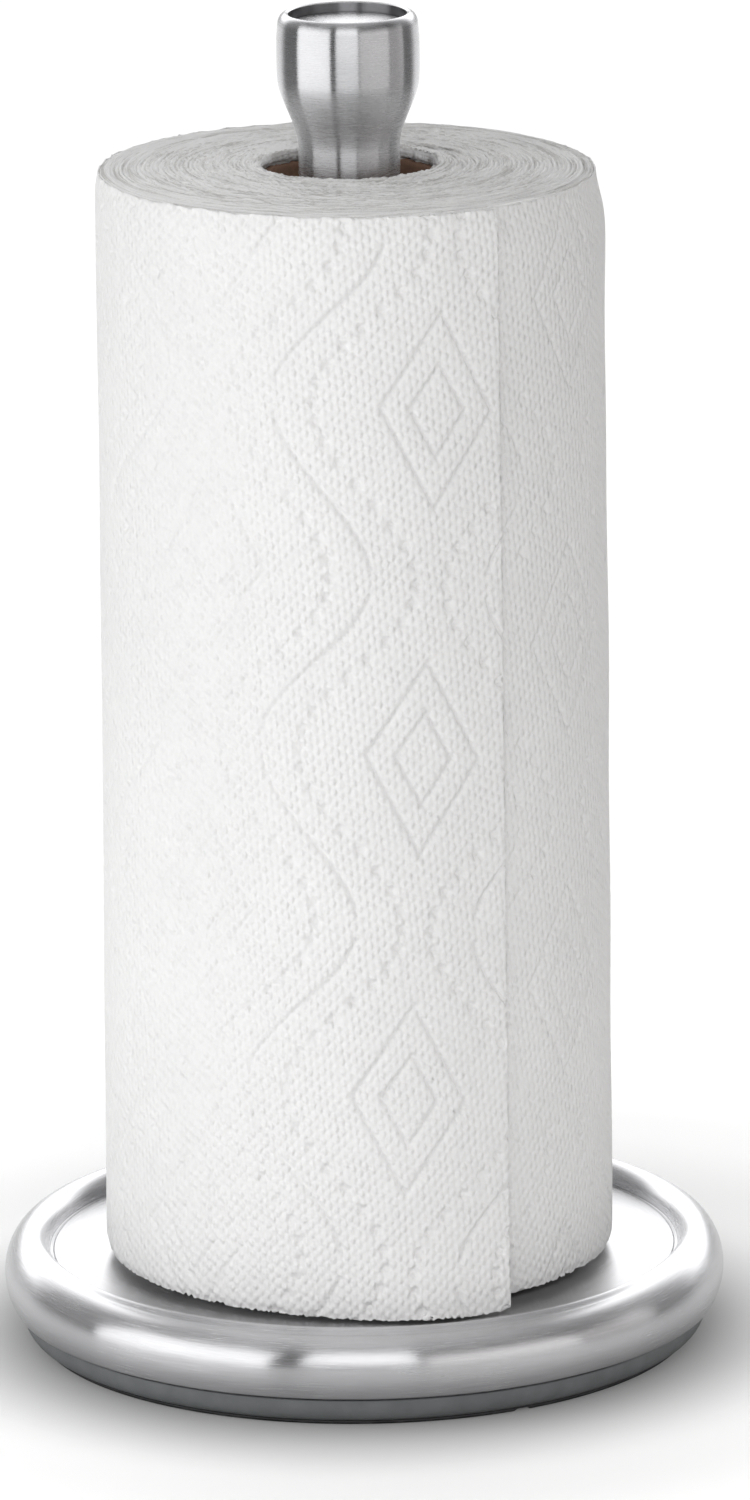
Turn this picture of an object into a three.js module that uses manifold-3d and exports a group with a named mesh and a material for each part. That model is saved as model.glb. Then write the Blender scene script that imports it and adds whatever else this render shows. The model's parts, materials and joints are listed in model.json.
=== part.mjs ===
// A weighted counter-top paper towel holder, with a towel roll standing on it.
//
// Millimetres, +Z up. The origin is on the table, on the axis of the post, and -Y is the front.
// A pressed steel cover over an iron weight carries a hollow post with a flared knob. A tie rod
// through the post clamps the three together. A plastic hub turns on the foot of the post
// against a friction disc, and its rubber ribs hold the roll's cardboard core.

import * as THREE from 'three';
import { mergeVertices } from 'three/addons/utils/BufferGeometryUtils.js';
import Module from 'manifold-3d';

// ---------------------------------------------------------------------------
// Driving dimensions
// ---------------------------------------------------------------------------

const GAP = 0.3; // clearance between neighbouring pieces
const SHEET = 0.9; // thickness of the pressed steel

const PLATE_Z = 21.9; // top of the plate that the roll stands on
const PLATE_R = 80.6; // where the plate meets the inside of the rim
const GROOVE = { width: 1.0, depth: 0.4 }; // pressed line round the plate's edge
const RIM = { crestR: 84.8, midZ: 16.1, bulge: 7.4, rise: 10.6 }; // elliptical outside of the rim
const RIM_EDGE = { r: 88.05, z: 7.8 }; // lower edge of the cover
const RIM_CREST_Z = RIM.midZ + RIM.rise;

const FOOT = { innerR: 75.0, r: 83.7, topR: 84.3, lip: 1.0, tongueTopZ: 2.5 };
const NOTCH = { count: 3, width: 4.0, height: 0.7, azimuth: 27.8 };

const WEIGHT = { r: 72, bottomZ: 9.5, chamfer: 2, boreR: 5, pocketR: 12.5, pocketZ: 14.0 };
const WEIGHT_TOP_Z = PLATE_Z - SHEET - GAP;

const PAN = { bottomZ: 1.6, floor: 2.0, holeR: 14.5, lipTopZ: 11.5 };
const BOSS = { circleR: 55, r: 6.2, pocketR: 4.2, pocketZ: 5.6, holeR: 2.0 };
const SCREW = { count: 4, headR: 3.7, headHeight: 2.2, shankR: 1.6, topZ: 16.5 };

const ROD = { r: 4.0, bottomZ: 3.8, topZ: 322 };
const ROD_HOLE_R = ROD.r + GAP;
const WASHER = { r: 11, thickness: 1.6 };
const NUT = { acrossFlats: 13, height: 6.5 };

const POST_R = 12.7; // one-inch tube
const POST_WALL = 1.0;
const COLLAR = { flangeR: 20, flange: 2.5, spigot: 13 };
const NECK_Z = 306; // where the knob's own metal begins

const TOP_Z = 341.7; // height of the whole holder
const KNOB = { r: 17.8, barrelR: 17.9, flareBottomZ: 308, flareTopZ: 326, shoulderR: 17.6 };
const SHOULDER = { centreR: 15.4, z: 338.5 };
const RECESS = { r: 14.8, depth: 2.6, ledgeR: 13.4 };
const CAP_THICKNESS = 1.2;
const INSERT = { bottomZ: 290, topZ: 318 };

const FRICTION_DISC = { r: 19, thickness: 1.2 };
const HUB = { flangeR: 20.6, flange: 2.2, r: 17.5, topZ: 60 };
const BUSHING = { wall: 1.6, height: 5 };
const GRIP = { r: 19.8, ribR: 21.3, ribTopR: 20.2, ribWidth: 2.4, ribs: 6, topZ: 57.5, leadIn: 8 };
const WAVE_WASHER = { r: 16.5, thickness: 0.6, wave: 0.35, waves: 3, zone: 1.9 };
const CLIP = { r: 15.6, thickness: 1.2, opening: 50 };

const ROLL_HEIGHT = 279.4; // an eleven-inch towel
const ROLL_R = 64.9;
const LAST_WRAP = { thickness: 0.9, freeEdge: 35.5, arc: 330 };
const CORE = { holeR: 21.6, wall: 1.5, recess: 2.6 };
const WRAP_STEP = { in: 3.5, up: 3 }; // the outer wraps hang a little higher than the inner ones

// ---------------------------------------------------------------------------
// Levels that follow from them
// ---------------------------------------------------------------------------

const COLLAR_Z = PLATE_Z + GAP;
const POST_BOTTOM_Z = COLLAR_Z + COLLAR.flange + GAP;
const HUB_BORE_R = POST_R + 2 * GAP + BUSHING.wall + GAP;
const DISC_Z = POST_BOTTOM_Z;
const HUB_Z = DISC_Z + FRICTION_DISC.thickness + GAP;
const WAVE_Z = HUB.topZ + GAP;
const CLIP_Z = WAVE_Z + WAVE_WASHER.zone + GAP;
const ROLL_Z = PLATE_Z + GAP;
const ROLL_TOP_Z = ROLL_Z + ROLL_HEIGHT;
const WASHER_Z = WEIGHT.pocketZ - GAP - WASHER.thickness;
const NUT_Z = WASHER_Z - GAP - NUT.height;

const FINE = 48; // segments round the base and the roll
const MEDIUM = 24; // round the post and the knob
const COARSE = 12; // round screws and their holes

// ---------------------------------------------------------------------------
// Materials
// ---------------------------------------------------------------------------

function material(color, roughness, metalness) {
  return new THREE.MeshStandardMaterial({ color, roughness, metalness });
}

const brushedSteel = material(0xb9babd, 0.32, 1.0);
const plainSteel = material(0x8d9095, 0.45, 1.0);
const castIron = material(0x3b3b3d, 0.75, 0.6);
const greyPlastic = material(0x7b7d80, 0.6, 0.0);
const darkPlastic = material(0x2e2f31, 0.55, 0.0);
const palePlastic = material(0xd9d8d2, 0.5, 0.0);
const rubber = material(0x4a4b4d, 0.85, 0.0);
const felt = material(0x55504a, 0.95, 0.0);
const cardboard = material(0xa98f73, 0.9, 0.0);
const towelPaper = material(0xf0eeed, 0.95, 0.0);

// ---------------------------------------------------------------------------
// Shape helpers
// ---------------------------------------------------------------------------

// Points [radius, z] along an elliptical arc, from one angle to another in degrees.
function arc(centreR, centreZ, halfR, halfZ, from, to, steps) {
  const points = [];
  for (let i = 0; i <= steps; i += 1) {
    const angle = THREE.MathUtils.degToRad(from + ((to - from) * i) / steps);
    points.push([centreR + halfR * Math.cos(angle), centreZ + halfZ * Math.sin(angle)]);
  }
  return points;
}

// A profile of [radius, z] points turned about Z. It runs up its outer side and starts and ends
// on the axis.
function turned(profile, segments) {
  const points = profile.map(([r, z]) => new THREE.Vector2(r, z));
  const geometry = new THREE.LatheGeometry(points, segments);
  geometry.rotateX(Math.PI / 2);
  return geometry;
}

// The same for a profile that stays clear of the axis and closes on itself.
function ring(profile, segments) {
  return turned([...profile, profile[0]], segments);
}

function sleeve(innerR, outerR, bottomZ, topZ, segments) {
  const profile = [
    [innerR, bottomZ],
    [outerR, bottomZ],
    [outerR, topZ],
    [innerR, topZ],
  ];
  return ring(profile, segments);
}

function rod(r, bottomZ, topZ, segments) {
  const profile = [
    [0, bottomZ],
    [r, bottomZ],
    [r, topZ],
    [0, topZ],
  ];
  return turned(profile, segments);
}

// A flat band that follows an arc, extruded upwards.
function band(innerR, outerR, fromAngle, toAngle, bottomZ, height, segments) {
  const shape = new THREE.Shape();
  shape.absarc(0, 0, outerR, fromAngle, toAngle, false);
  shape.absarc(0, 0, innerR, toAngle, fromAngle, true);
  const settings = { depth: height, bevelEnabled: false, curveSegments: segments };
  const geometry = new THREE.ExtrudeGeometry(shape, settings);
  geometry.translate(0, 0, bottomZ);
  return geometry;
}

// The angle about Z, from +X, of a direction given in degrees to the right of the front.
function rightOfFront(degrees) {
  return THREE.MathUtils.degToRad(degrees - 90);
}

// ---------------------------------------------------------------------------
// Joining and cutting
// ---------------------------------------------------------------------------

const wasm = await Module();
wasm.setup();
const WELD = 1e-4;

function toSolid(geometry) {
  const bare = new THREE.BufferGeometry();
  bare.setAttribute('position', geometry.getAttribute('position'));
  bare.setIndex(geometry.getIndex());
  const welded = mergeVertices(bare, WELD);
  const mesh = new wasm.Mesh({
    numProp: 3,
    vertProperties: welded.getAttribute('position').array,
    triVerts: new Uint32Array(welded.getIndex().array),
  });
  return new wasm.Manifold(mesh);
}

function fromSolid(solid) {
  const mesh = solid.getMesh();
  const geometry = new THREE.BufferGeometry();
  geometry.setAttribute('position', new THREE.BufferAttribute(mesh.vertProperties, 3));
  geometry.setIndex(new THREE.BufferAttribute(mesh.triVerts, 1));
  geometry.computeVertexNormals();
  return geometry;
}

function joined(geometry, additions) {
  const whole = additions.reduce((body, item) => body.add(toSolid(item)), toSolid(geometry));
  return fromSolid(whole);
}

function cut(geometry, tools) {
  const rest = tools.reduce((body, tool) => body.subtract(toSolid(tool)), toSolid(geometry));
  return fromSolid(rest);
}

// Copies of a geometry made for the +X side, set round Z at equal angles.
function around(make, count, startAngle) {
  const copies = [];
  for (let i = 0; i < count; i += 1) {
    const copy = make();
    copy.rotateZ(startAngle + (2 * Math.PI * i) / count);
    copies.push(copy);
  }
  return copies;
}

const holder = new THREE.Group();

function piece(name, geometry, surface) {
  const mesh = new THREE.Mesh(geometry, surface);
  mesh.name = name;
  holder.add(mesh);
  return mesh;
}

// ---------------------------------------------------------------------------
// Weighted base
// ---------------------------------------------------------------------------

// One pressing: rolled rim, low inner wall, pressed line and flat plate with a hole for the rod.
function baseCover() {
  const wall = { r: RIM.crestR - PLATE_R, z: RIM_CREST_Z - PLATE_Z };
  const grooveZ = PLATE_Z - GROOVE.depth;
  const outside = [
    [RIM_EDGE.r, RIM_EDGE.z],
    ...arc(RIM.crestR, RIM.midZ, RIM.bulge, RIM.rise, -45, 90, 9),
    ...arc(RIM.crestR, PLATE_Z, wall.r, wall.z, 90, 180, 4).slice(1),
    [PLATE_R, grooveZ],
    [PLATE_R - GROOVE.width, grooveZ],
    [PLATE_R - GROOVE.width, PLATE_Z],
    [ROD_HOLE_R, PLATE_Z],
  ];
  const underside = [
    [ROD_HOLE_R, PLATE_Z - SHEET],
    [PLATE_R + SHEET, PLATE_Z - SHEET],
    ...arc(RIM.crestR, PLATE_Z, wall.r - SHEET, wall.z - SHEET, 180, 90, 3),
    ...arc(RIM.crestR, RIM.midZ, RIM.bulge - SHEET, RIM.rise - SHEET, 90, -45, 7).slice(1),
    [RIM_EDGE.r - SHEET, RIM_EDGE.z],
  ];
  return ring([...outside, ...underside], FINE);
}

// Iron disc with a pocket below for the nut and washer and a blind hole for each screw.
function baseWeight() {
  const { r, bottomZ, chamfer, boreR, pocketR, pocketZ } = WEIGHT;
  const disc = ring(
    [
      [pocketR, bottomZ],
      [r - chamfer, bottomZ],
      [r, bottomZ + chamfer],
      [r, WEIGHT_TOP_Z - chamfer],
      [r - chamfer, WEIGHT_TOP_Z],
      [boreR, WEIGHT_TOP_Z],
      [boreR, pocketZ],
      [pocketR, pocketZ],
    ],
    FINE,
  );
  const blindHole = () =>
    rod(BOSS.holeR, bottomZ - 1, SCREW.topZ + GAP, COARSE).translate(BOSS.circleR, 0, 0);
  return cut(disc, around(blindHole, SCREW.count, Math.PI / 4));
}

// Moulded pan that closes the base. Its outer wall is the grey band between cover and foot.
function bottomPan() {
  const floorTopZ = PAN.bottomZ + PAN.floor;
  const grooveIn = FOOT.innerR + 2 * GAP;
  const grooveOut = FOOT.r - 0.8;
  const grooveZ = FOOT.tongueTopZ + GAP;
  const skirtZ = FOOT.lip + GAP;
  const skirtTopZ = RIM_EDGE.z - GAP;
  const lipR = RIM_EDGE.r - 1.5;
  const shell = ring(
    [
      [PAN.holeR, PAN.bottomZ],
      [grooveIn, PAN.bottomZ],
      [grooveIn, grooveZ],
      [grooveOut, grooveZ],
      [grooveOut, skirtZ],
      [FOOT.topR + 0.2, skirtZ],
      [FOOT.topR + 2.6, (skirtZ + skirtTopZ) / 2],
      [RIM_EDGE.r - 0.1, skirtTopZ],
      [lipR, skirtTopZ],
      [lipR, PAN.lipTopZ],
      [lipR - 1.8, PAN.lipTopZ],
      [lipR - 1.8, skirtTopZ],
      [grooveOut, grooveZ + PAN.floor],
      [grooveIn, grooveZ + PAN.floor],
      [grooveIn - 2, floorTopZ],
      [PAN.holeR, floorTopZ],
    ],
    FINE,
  );
  const bossTopZ = WEIGHT.bottomZ - GAP;
  const boss = () => rod(BOSS.r, PAN.bottomZ + 0.5, bossTopZ, COARSE).translate(BOSS.circleR, 0, 0);
  const pocket = () => rod(BOSS.pocketR, 0, BOSS.pocketZ, COARSE).translate(BOSS.circleR, 0, 0);
  const hole = () => rod(BOSS.holeR, 1, bossTopZ + 1, COARSE).translate(BOSS.circleR, 0, 0);
  const start = Math.PI / 4;
  const withBosses = joined(shell, around(boss, SCREW.count, start));
  const withPockets = cut(withBosses, around(pocket, SCREW.count, start));
  return cut(withPockets, around(hole, SCREW.count, start));
}

// Soft ring that the holder stands on, with a tongue in the pan's groove and prying notches.
function footRing() {
  const tongueIn = FOOT.innerR + 3 * GAP;
  const tongueOut = FOOT.r - 0.8 - GAP;
  const body = ring(
    [
      [FOOT.innerR, 0],
      [FOOT.r, 0],
      [FOOT.topR, FOOT.lip],
      [tongueOut, FOOT.lip],
      [tongueOut, FOOT.tongueTopZ],
      [tongueIn, FOOT.tongueTopZ],
      [tongueIn, FOOT.lip],
      [FOOT.innerR, FOOT.lip],
    ],
    FINE,
  );
  const depth = 5;
  const notch = () => {
    const box = new THREE.BoxGeometry(2 * depth, NOTCH.width, 2 * NOTCH.height);
    return box.translate(FOOT.r, 0, 0);
  };
  return cut(body, around(notch, NOTCH.count, rightOfFront(NOTCH.azimuth)));
}

// Pan-head screw with a cross recess, head down.
function panScrew() {
  const headTopZ = BOSS.pocketZ - GAP;
  const headZ = headTopZ - SCREW.headHeight;
  const body = turned(
    [
      [0, headZ],
      [SCREW.headR * 0.75, headZ],
      [SCREW.headR, headZ + 0.9],
      [SCREW.headR, headTopZ],
      [SCREW.shankR, headTopZ],
      [SCREW.shankR, SCREW.topZ - 1.5],
      [0, SCREW.topZ],
    ],
    COARSE,
  );
  const slot = [4.0, 0.9, 2.4];
  const across = new THREE.BoxGeometry(slot[0], slot[1], slot[2]).translate(0, 0, headZ);
  const along = new THREE.BoxGeometry(slot[1], slot[0], slot[2]).translate(0, 0, headZ);
  return cut(body, [across, along]);
}

function addBase() {
  piece('base_cover', baseCover(), brushedSteel);
  piece('base_weight', baseWeight(), castIron);
  piece('bottom_pan', bottomPan(), greyPlastic);
  piece('foot_ring', footRing(), rubber);
  const screws = around(() => panScrew().translate(BOSS.circleR, 0, 0), SCREW.count, Math.PI / 4);
  screws.forEach((screw, i) => piece(`pan_screw_${i + 1}`, screw, plainSteel));
}

// ---------------------------------------------------------------------------
// Post, knob and the rod that clamps them to the base
// ---------------------------------------------------------------------------

// Radius of the neck and knob from the plain tube up to the end of the flare.
function neckRadius(z) {
  const span = KNOB.flareTopZ - KNOB.flareBottomZ;
  const t = THREE.MathUtils.clamp((z - KNOB.flareBottomZ) / span, 0, 1);
  return POST_R + (KNOB.r - POST_R) * t * t * (3 - 2 * t);
}

function flare(offset, bottomZ, steps) {
  const points = [[POST_R - offset, bottomZ]];
  for (let i = 0; i <= steps; i += 1) {
    const z = THREE.MathUtils.lerp(KNOB.flareBottomZ, KNOB.flareTopZ, i / steps);
    points.push([neckRadius(z) - offset, z]);
  }
  return points;
}

// Spun shell: neck, flare, barrel, rounded shoulder, thin lip and the ledge that holds the cap.
function knobShell() {
  const bottomZ = NECK_Z + GAP;
  const ledgeZ = TOP_Z - RECESS.depth - CAP_THICKNESS - GAP;
  const roundR = KNOB.shoulderR - SHOULDER.centreR;
  const outside = [
    ...flare(0, bottomZ, 8),
    [KNOB.barrelR, (KNOB.flareTopZ + SHOULDER.z) / 2],
    ...arc(SHOULDER.centreR, SHOULDER.z, roundR, TOP_Z - SHOULDER.z, 0, 90, 5),
    [RECESS.r, TOP_Z - 0.5],
    [RECESS.r, ledgeZ],
    [RECESS.ledgeR, ledgeZ],
    [RECESS.ledgeR, ledgeZ - SHEET],
  ];
  const inside = [
    [KNOB.shoulderR - SHEET, ledgeZ - SHEET],
    [KNOB.barrelR - SHEET, (KNOB.flareTopZ + SHOULDER.z) / 2],
    ...flare(SHEET, bottomZ, 6).reverse(),
  ];
  return ring([...outside, ...inside], MEDIUM);
}

// Moulded foot of the post: a flange on the plate and a spigot that centres the tube.
function postCollar() {
  const flangeTopZ = COLLAR_Z + COLLAR.flange;
  const spigotR = POST_R - POST_WALL - GAP;
  const profile = [
    [ROD_HOLE_R, COLLAR_Z],
    [COLLAR.flangeR, COLLAR_Z],
    [COLLAR.flangeR, flangeTopZ],
    [spigotR, flangeTopZ],
    [spigotR, flangeTopZ + COLLAR.spigot - 1],
    [spigotR - 1, flangeTopZ + COLLAR.spigot],
    [ROD_HOLE_R, flangeTopZ + COLLAR.spigot],
  ];
  return ring(profile, MEDIUM);
}

function rodNut() {
  const cornerR = NUT.acrossFlats / Math.sqrt(3);
  const hexagon = rod(cornerR, NUT_Z, NUT_Z + NUT.height, 6);
  const hole = rod(ROD_HOLE_R, NUT_Z - 1, NUT_Z + NUT.height + 1, COARSE);
  return cut(hexagon, [hole]);
}

function addPost() {
  const insertR = POST_R - POST_WALL - GAP;
  const capTopZ = TOP_Z - RECESS.depth;
  const postTube = sleeve(POST_R - POST_WALL, POST_R, POST_BOTTOM_Z, NECK_Z, MEDIUM);
  const insert = sleeve(ROD_HOLE_R, insertR, INSERT.bottomZ, INSERT.topZ, MEDIUM);
  const capDisc = rod(RECESS.r - GAP, capTopZ - CAP_THICKNESS, capTopZ, MEDIUM);
  const tieRod = rod(ROD.r, ROD.bottomZ, ROD.topZ, COARSE);
  const washer = sleeve(ROD_HOLE_R, WASHER.r, WASHER_Z, WASHER_Z + WASHER.thickness, COARSE);
  piece('post_tube', postTube, brushedSteel);
  piece('knob_shell', knobShell(), brushedSteel);
  piece('knob_cap_disc', capDisc, brushedSteel);
  piece('knob_threaded_insert', insert, plainSteel);
  piece('post_collar', postCollar(), darkPlastic);
  piece('tie_rod', tieRod, plainSteel);
  piece('tie_rod_washer', washer, plainSteel);
  piece('tie_rod_nut', rodNut(), plainSteel);
}

// ---------------------------------------------------------------------------
// Turning hub that grips the roll's core
// ---------------------------------------------------------------------------

function spindleHub() {
  const flangeTopZ = HUB_Z + HUB.flange;
  const profile = [
    [HUB_BORE_R, HUB_Z],
    [HUB.flangeR, HUB_Z],
    [HUB.flangeR, flangeTopZ],
    [HUB.r, flangeTopZ],
    [HUB.r, HUB.topZ],
    [HUB_BORE_R, HUB.topZ],
  ];
  return ring(profile, MEDIUM);
}

// Rubber sleeve over the hub. Its ribs lean in at the top, which leads the core onto them.
function gripSleeve() {
  const bottomZ = HUB_Z + HUB.flange + GAP;
  const innerR = HUB.r + GAP;
  const height = GRIP.topZ - bottomZ;
  const body = sleeve(innerR, GRIP.r, bottomZ, GRIP.topZ, MEDIUM);
  const rib = () => {
    const box = new THREE.BoxGeometry(GRIP.ribR - innerR - 0.5, GRIP.ribWidth, height);
    return box.translate((GRIP.ribR + innerR + 0.5) / 2, 0, bottomZ + height / 2);
  };
  const envelope = turned(
    [
      [0, bottomZ],
      [GRIP.ribR, bottomZ],
      [GRIP.ribR, GRIP.topZ - GRIP.leadIn],
      [GRIP.ribTopR, GRIP.topZ],
      [0, GRIP.topZ],
    ],
    MEDIUM,
  );
  const ribbed = toSolid(joined(body, around(rib, GRIP.ribs, 0)));
  return fromSolid(ribbed.intersect(toSolid(envelope)));
}

// Spring washer, bent into waves so that it presses the hub onto the friction disc.
function waveWasher() {
  const { r, thickness, wave, waves, zone } = WAVE_WASHER;
  const bottomZ = WAVE_Z + (zone - thickness) / 2;
  const geometry = sleeve(POST_R + GAP, r, bottomZ, bottomZ + thickness, MEDIUM);
  const position = geometry.getAttribute('position');
  for (let i = 0; i < position.count; i += 1) {
    const angle = Math.atan2(position.getY(i), position.getX(i));
    position.setZ(i, position.getZ(i) + wave * Math.cos(waves * angle));
  }
  return geometry;
}

function retainingClip() {
  const half = THREE.MathUtils.degToRad(CLIP.opening / 2);
  return band(POST_R + GAP, CLIP.r, half, 2 * Math.PI - half, CLIP_Z, CLIP.thickness, 14);
}

function addSpindle() {
  const bushingIn = POST_R + GAP;
  const bushingOut = HUB_BORE_R - GAP;
  const upperZ = HUB.topZ - BUSHING.height;
  const lowerBushing = sleeve(bushingIn, bushingOut, HUB_Z, HUB_Z + BUSHING.height, MEDIUM);
  const upperBushing = sleeve(bushingIn, bushingOut, upperZ, HUB.topZ, MEDIUM);
  const discTopZ = DISC_Z + FRICTION_DISC.thickness;
  const frictionDisc = sleeve(POST_R + GAP, FRICTION_DISC.r, DISC_Z, discTopZ, MEDIUM);
  piece('spindle_hub', spindleHub(), palePlastic);
  piece('core_grip_sleeve', gripSleeve(), rubber);
  piece('hub_bushing_lower', lowerBushing, darkPlastic);
  piece('hub_bushing_upper', upperBushing, darkPlastic);
  piece('friction_disc', frictionDisc, felt);
  piece('wave_washer', waveWasher(), plainSteel);
  piece('retaining_clip', retainingClip(), plainSteel);
}

// ---------------------------------------------------------------------------
// Towel roll
// ---------------------------------------------------------------------------

function woundTowel() {
  const innerR = CORE.holeR + CORE.wall + GAP;
  const outerR = ROLL_R - LAST_WRAP.thickness - GAP;
  const profile = [
    [innerR, ROLL_Z],
    [outerR - WRAP_STEP.in, ROLL_Z],
    [outerR, ROLL_Z + WRAP_STEP.up],
    [outerR, ROLL_TOP_Z],
    [innerR, ROLL_TOP_Z],
  ];
  return ring(profile, FINE);
}

// The last wrap runs from its free edge round past the front, the left and the back.
function lastWrap() {
  const freeAngle = rightOfFront(LAST_WRAP.freeEdge);
  const startAngle = freeAngle - THREE.MathUtils.degToRad(LAST_WRAP.arc);
  const innerR = ROLL_R - LAST_WRAP.thickness;
  return band(innerR, ROLL_R, startAngle, freeAngle, ROLL_Z, ROLL_HEIGHT, FINE);
}

function addRoll() {
  const coreTopZ = ROLL_TOP_Z - CORE.recess;
  const coreTube = sleeve(CORE.holeR, CORE.holeR + CORE.wall, ROLL_Z, coreTopZ, MEDIUM);
  piece('core_tube', coreTube, cardboard);
  piece('wound_towel', woundTowel(), towelPaper);
  piece('last_wrap', lastWrap(), towelPaper);
}

addBase();
addPost();
addSpindle();
addRoll();

export default holder;
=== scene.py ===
"""Looks of the paper towel holder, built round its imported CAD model.

Shapes are worked out in millimetres and turned into metres as their meshes are made. The frame is
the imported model's: +Z up, the origin on the table on the axis of the post, and -Y the front.
Azimuths are in degrees to the right of the front.
"""

import json
import math

import bmesh
import bpy
import numpy as np
from mathutils import Matrix, Vector


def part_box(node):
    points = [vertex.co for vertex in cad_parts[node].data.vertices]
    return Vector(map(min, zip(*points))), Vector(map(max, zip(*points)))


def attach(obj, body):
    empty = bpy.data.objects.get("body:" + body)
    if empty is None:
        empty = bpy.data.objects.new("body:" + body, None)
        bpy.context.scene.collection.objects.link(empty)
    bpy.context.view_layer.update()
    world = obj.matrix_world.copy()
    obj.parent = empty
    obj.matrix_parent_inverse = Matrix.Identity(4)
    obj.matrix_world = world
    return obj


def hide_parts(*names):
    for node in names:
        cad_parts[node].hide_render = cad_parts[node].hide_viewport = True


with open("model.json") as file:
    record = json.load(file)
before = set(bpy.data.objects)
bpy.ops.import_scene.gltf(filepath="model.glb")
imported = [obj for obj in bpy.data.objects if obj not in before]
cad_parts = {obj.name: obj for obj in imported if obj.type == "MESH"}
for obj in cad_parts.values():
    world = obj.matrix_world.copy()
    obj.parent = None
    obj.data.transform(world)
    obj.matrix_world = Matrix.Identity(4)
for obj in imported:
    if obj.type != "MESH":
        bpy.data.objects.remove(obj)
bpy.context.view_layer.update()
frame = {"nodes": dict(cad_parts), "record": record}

MM = 0.001
TURN = 2 * math.pi
GAP = 0.3  # clearance that the CAD model keeps between neighbouring pieces


def new_object(name, data):
    thing = bpy.data.objects.new(name, data)
    bpy.context.scene.collection.objects.link(thing)
    return thing


def new_mesh(name, points, faces):
    """A mesh from points in millimetres."""
    mesh = bpy.data.meshes.new(name)
    mesh.from_pydata((np.asarray(points, float) * MM).tolist(), [], faces)
    return mesh


def extent(node):
    """Outer radius, bottom and top of a CAD node that is round about Z."""
    low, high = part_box(node)
    return high.x / MM, low.z / MM, high.z / MM


# --- Camera ---

CAMERA_PLACE = (0, -2479.4, 783.8)
CAMERA_PITCH = 14.294  # below the horizon
CAMERA_ROLL = -0.769
CAMERA_LENS = 242.19
CAMERA_SHIFT_X = 0.0118  # the photograph's centre lies a little to the right of the post


def add_camera():
    data = bpy.data.cameras.new("camera")
    data.sensor_width = 36
    data.lens = CAMERA_LENS
    data.shift_x = CAMERA_SHIFT_X
    data.clip_end = 20
    camera = new_object("camera", data)
    tilt = Matrix.Rotation(math.radians(90 - CAMERA_PITCH), 4, "X")
    roll = Matrix.Rotation(math.radians(CAMERA_ROLL), 4, "Z")
    place = Matrix.Translation(Vector(CAMERA_PLACE) * MM)
    camera.matrix_world = place @ tilt @ roll
    bpy.context.scene.camera = camera


# --- Floor, lights and surroundings ---

WHITE = (1, 1, 1, 1)
FLOOR_R = 420
FLOOR_SIDES = 96
# painted glow that only the camera sees on the floor, besides its lit colour: little at the foot,
# a painted shadow there, then rising with a small dip until the floor fades into the white room
FLOOR_PAINTED_GLOW = ((84, 0.09), (105, 0.17), (140, 0.15), (190, 0.27), (240, 0.42))
# its grey close to the foot, darker there as painted shadow, and in the open, and the radii between
# which it changes
FLOOR_SHADE = {"foot": 0.45, "open": 0.93, "from": 88, "to": 130}

# azimuth, distance, height of the centre, width, height, radiance and colour of each soft light,
# an upright rectangle that faces the post
SOFTBOXES = {
    "key_left": (-59, 750, 350, 870, 920, 1.8, (1.0, 1.0, 1.0)),
    "front": (-1.5, 750, 560, 495, 820, 1.85, (1.0, 1.0, 1.0)),
    "fill_right": (44, 900, 340, 860, 560, 1.3, (1.0, 0.98, 0.97)),
    "side_right": (85, 900, 320, 480, 520, 0.65, (1.0, 0.97, 0.96)),
}


def add_floor():
    angles = np.arange(FLOOR_SIDES) * TURN / FLOOR_SIDES
    rim = [(FLOOR_R * math.cos(a), FLOOR_R * math.sin(a), 0) for a in angles]
    mesh = new_mesh("floor", rim, [tuple(range(FLOOR_SIDES))])
    floor = new_object("floor", mesh)
    open_shade = (FLOOR_SHADE["open"],) * 3
    shader = new_material("floor_white", open_shade, 0.85, Specular_IOR_Level=0.05,
                          Emission_Color=WHITE)
    x, y, _ = coordinates(object_place(shader))
    radius = axis_distance(x, y)
    glow = FLOOR_PAINTED_GLOW[0][1]
    for (inner, dim), (outer, bright) in zip(FLOOR_PAINTED_GLOW, FLOOR_PAINTED_GLOW[1:]):
        rise = eased(radius, inner * MM, outer * MM, 0, bright - dim)
        glow = plus(rise, glow)
    # emission seen by the camera only: a painted glow, low near the foot as painted shadow
    seen = wire(shader, "LightPath").outputs["Is Camera Ray"]
    feed(shader, "Emission Strength", times(glow, seen))
    # the floor's grey darkens towards the foot: painted shadow around the base
    share = eased(radius, FLOOR_SHADE["from"] * MM, FLOOR_SHADE["to"] * MM, 0, 1)
    mottled(shader, share, (FLOOR_SHADE["foot"],) * 3, open_shade)
    mesh.materials.append(bpy.data.materials["floor_white"])


def add_softbox(name, azimuth, distance, centre_z, width, height, radiance, colour):
    light = bpy.data.lights.new(name, "AREA")
    light.shape = "RECTANGLE"
    light.size = width * MM
    light.size_y = height * MM
    light.color = colour
    light.energy = radiance * math.pi * light.size * light.size_y
    lamp = new_object(name, light)
    turn = math.radians(azimuth)
    lamp.location = Vector((math.sin(turn) * distance, -math.cos(turn) * distance, centre_z)) * MM
    lamp.rotation_euler = (math.pi / 2, 0, turn)
    lamp.visible_camera = False


# brightness of the parts of the room, as a light and ("seen") as the camera sees it
ROOM = {"dark": 0.07, "sides": 0.3, "back": 1.95, "under": 0.5, "horizon": 0.2, "over": 0.6,
        "seen": 1.05}
# where it changes, by a direction's y (1 is straight behind) and z (1 is straight up)
SIDES_Y, BACK_Y = (-0.05, 0.2), (0.5, 0.8)
HORIZON_Z, BACK_LOW_Z, BACK_TOP_Z, OVER_Z = (-0.16, -0.04), (0.1, 0.24), (0.72, 0.95), (0.75, 0.95)


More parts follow.
